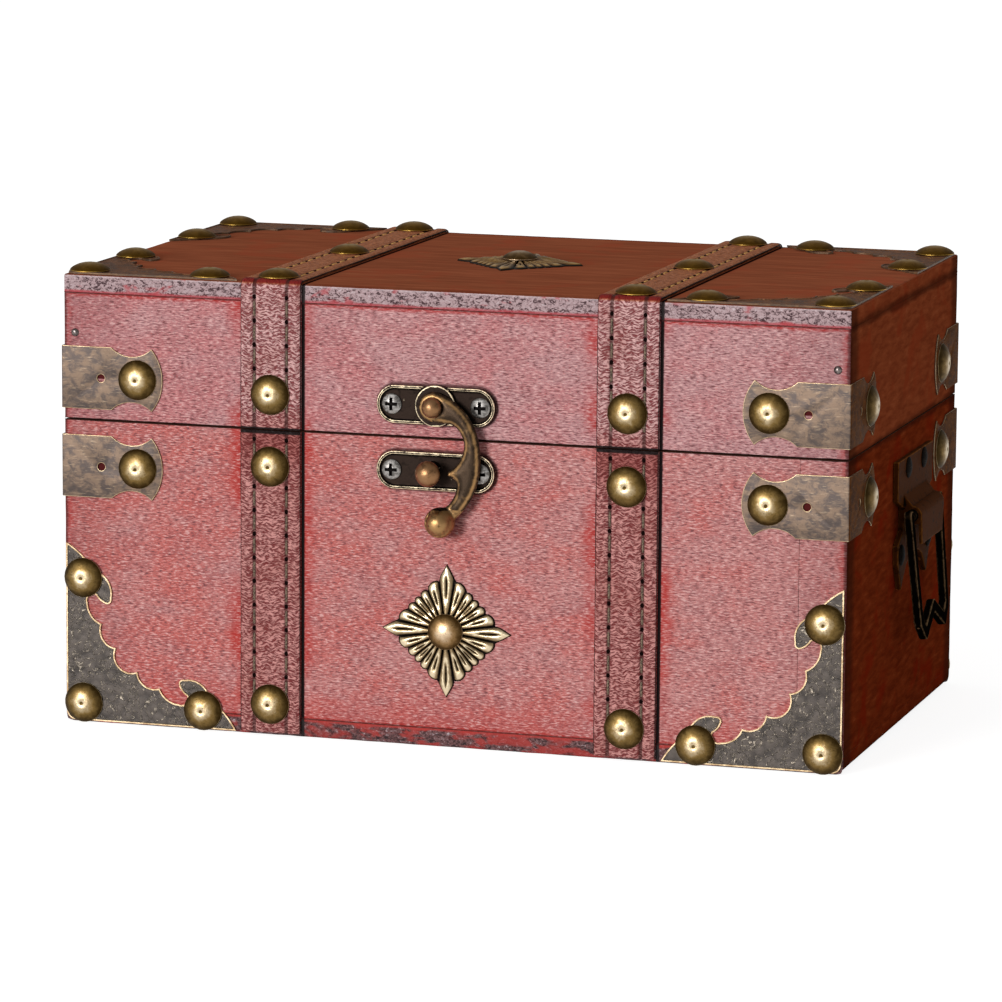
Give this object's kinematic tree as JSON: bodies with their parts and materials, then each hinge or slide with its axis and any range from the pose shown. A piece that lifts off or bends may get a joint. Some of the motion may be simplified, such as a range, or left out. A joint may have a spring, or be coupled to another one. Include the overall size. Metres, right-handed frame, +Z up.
{
  "type": "treasure chest box",
  "caption": "Rectangular wooden keepsake chest with hinged lid, leather straps, domed nails, bronze corners, a swing hook latch and drop handles.",
  "frame": {"origin": "middle of the underside, on the table", "axes": "+X to the right seen from the front, +Y to the back with the hinges, +Z up"},
  "size_m": [0.2368, 0.1428, 0.1276],
  "materials": {
    "stained_wood": "worn red stain",
    "leather": "pebbled and stitched",
    "aged_brass": "antique polished",
    "aged_bronze_sheet": "aged, bright rims",
    "cast_bronze": "antique, rubbed edges",
    "dark_bronze": "dark antique",
    "steel_screw": "zinc plated",
    "steel_brad": "plain wire"
  },
  "bodies": {
    "base": {"base_back_panel": "stained_wood", "base_bottom_panel": "stained_wood", "base_brads": "steel_brad", "base_clip_back_left": "aged_bronze_sheet", "base_clip_back_right": "aged_bronze_sheet", "base_clip_front_left": "aged_bronze_sheet", "base_clip_front_right": "aged_bronze_sheet", "base_corner_plate_back_left": "aged_bronze_sheet", "base_corner_plate_back_right": "aged_bronze_sheet", "base_corner_plate_front_left": "aged_bronze_sheet", "base_corner_plate_front_right": "aged_bronze_sheet", "base_front_panel": "stained_wood", "base_hinge_leaf_left": "dark_bronze", "base_hinge_leaf_right": "dark_bronze", "base_hinge_nails": "dark_bronze", "base_left_panel": "stained_wood", "base_right_panel": "stained_wood", "base_rosette": "aged_bronze_sheet", "base_rosette_nail": "aged_brass", "base_strap_back_left": "leather", "base_strap_back_right": "leather", "base_strap_front_left": "leather", "base_strap_front_right": "leather", "base_studs": "aged_brass", "catch_plate": "cast_bronze", "catch_screws": "steel_screw", "handle_plate_left": "dark_bronze", "handle_plate_right": "dark_bronze", "handle_rivets": "dark_bronze", "hinge_pin_left": "dark_bronze", "hinge_pin_right": "dark_bronze"},
    "lid": {"latch_pivot": "cast_bronze", "latch_plate": "cast_bronze", "latch_screws": "steel_screw", "lid_back_rail": "stained_wood", "lid_brads": "steel_brad", "lid_clip_back_left": "aged_bronze_sheet", "lid_clip_back_right": "aged_bronze_sheet", "lid_clip_front_left": "aged_bronze_sheet", "lid_clip_front_right": "aged_bronze_sheet", "lid_corner_plate_back_left": "aged_bronze_sheet", "lid_corner_plate_back_right": "aged_bronze_sheet", "lid_corner_plate_front_left": "aged_bronze_sheet", "lid_corner_plate_front_right": "aged_bronze_sheet", "lid_front_rail": "stained_wood", "lid_hinge_leaf_left": "dark_bronze", "lid_hinge_leaf_right": "dark_bronze", "lid_hinge_nails": "dark_bronze", "lid_left_rail": "stained_wood", "lid_right_rail": "stained_wood", "lid_rosette": "aged_bronze_sheet", "lid_rosette_nail": "aged_brass", "lid_strap_left": "leather", "lid_strap_right": "leather", "lid_studs": "aged_brass", "lid_top_panel": "stained_wood"},
    "latch_hook": {"latch_hook": "cast_bronze"},
    "handle_bail_left": {"handle_bail_left": "dark_bronze"},
    "handle_bail_right": {"handle_bail_right": "dark_bronze"}
  },
  "joints": [
    {"name": "lid_hinge", "type": "hinge", "parent": "base", "child": "lid", "pos_m": [0, 0.0672, 0.0842], "axis": [-1, 0, 0], "range_deg": [0, 130]},
    {"name": "hook_swing", "type": "hinge", "parent": "lid", "child": "latch_hook", "pos_m": [-0.003, -0.065, 0.0932], "axis": [0, -1, 0], "range_deg": [-10, 120]},
    {"name": "right_bail_swing", "type": "hinge", "parent": "base", "child": "handle_bail_right", "pos_m": [0.114, 0.008, 0.0605], "axis": [0, -1, 0], "range_deg": [-5, 150]},
    {"name": "left_bail_swing", "type": "hinge", "parent": "base", "child": "handle_bail_left", "pos_m": [-0.114, 0.008, 0.0605], "axis": [0, 1, 0], "range_deg": [-5, 150]}
  ]
}
